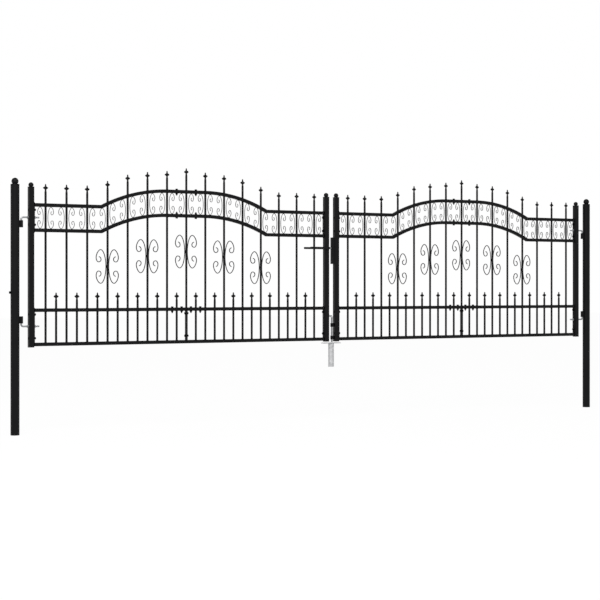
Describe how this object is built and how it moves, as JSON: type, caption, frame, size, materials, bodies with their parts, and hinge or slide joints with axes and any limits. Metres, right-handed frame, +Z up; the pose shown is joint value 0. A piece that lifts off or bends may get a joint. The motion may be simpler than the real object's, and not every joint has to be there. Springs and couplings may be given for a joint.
{
  "type": "double-leaf driveway gate with posts",
  "caption": "Arched double-leaf driveway gate in wrought-iron style, black bars with spear points and C-scrolls, hung on round posts, with lever latch and drop bolt.",
  "frame": {"origin": "middle of the left post's flat foot, 0.6 m below the ground that the posts are set in", "axes": "+X along the gate to the right post, +Y to the yard side that the leaves open to, +Z up"},
  "size_m": [5.1688, 0.138, 1.9165],
  "materials": {
    "black_powder_coat": "satin",
    "zinc_plated_steel": "satin"
  },
  "bodies": {
    "posts": {"left_post": "black_powder_coat", "right_post": "black_powder_coat", "post_caps": "black_powder_coat", "left_hinge_sleeves": "black_powder_coat", "right_hinge_sleeves": "black_powder_coat", "ground_sleeve": "zinc_plated_steel"},
    "left_leaf": {"left_hinge_stile": "black_powder_coat", "left_meeting_stile": "black_powder_coat", "left_hinge_side_panel": "black_powder_coat", "left_meeting_side_panel": "black_powder_coat", "left_centre_bar": "black_powder_coat", "left_stile_caps": "black_powder_coat", "left_spear_points": "black_powder_coat", "left_leaf_scrolls": "black_powder_coat", "left_hinge_rods": "zinc_plated_steel", "lock_face_plate": "zinc_plated_steel", "latch": "zinc_plated_steel", "lever_roses": "black_powder_coat"},
    "right_leaf": {"right_hinge_stile": "black_powder_coat", "right_meeting_stile": "black_powder_coat", "right_hinge_side_panel": "black_powder_coat", "right_meeting_side_panel": "black_powder_coat", "right_centre_bar": "black_powder_coat", "right_stile_caps": "black_powder_coat", "right_spear_points": "black_powder_coat", "right_leaf_scrolls": "black_powder_coat", "right_hinge_rods": "zinc_plated_steel", "lock_keep": "black_powder_coat", "drop_bolt_guides": "black_powder_coat"},
    "lever_handles": {"front_lever": "black_powder_coat", "back_lever": "black_powder_coat", "lock_spindle": "zinc_plated_steel"},
    "drop_bolt": {"drop_bolt": "zinc_plated_steel"}
  },
  "joints": [
    {"name": "left_leaf_hinge", "type": "hinge", "parent": "posts", "child": "left_leaf", "pos_m": [0.045, 0, 1.478], "axis": [0, 0, 1], "range_deg": [0, 90]},
    {"name": "right_leaf_hinge", "type": "hinge", "parent": "posts", "child": "right_leaf", "pos_m": [5.0618, 0, 1.478], "axis": [0, 0, -1], "range_deg": [0, 90]},
    {"name": "lever_turn", "type": "hinge", "parent": "left_leaf", "child": "lever_handles", "pos_m": [2.5084, 0, 1.34], "axis": [0, -1, 0], "range_deg": [0, 40], "stiffness_Nm_per_rad": 1.5, "springref_deg": -28.65},
    {"name": "drop_bolt_slide", "type": "slide", "parent": "right_leaf", "child": "drop_bolt", "axis": [0, 0, 1], "range_m": [-0.038, 0]}
  ]
}
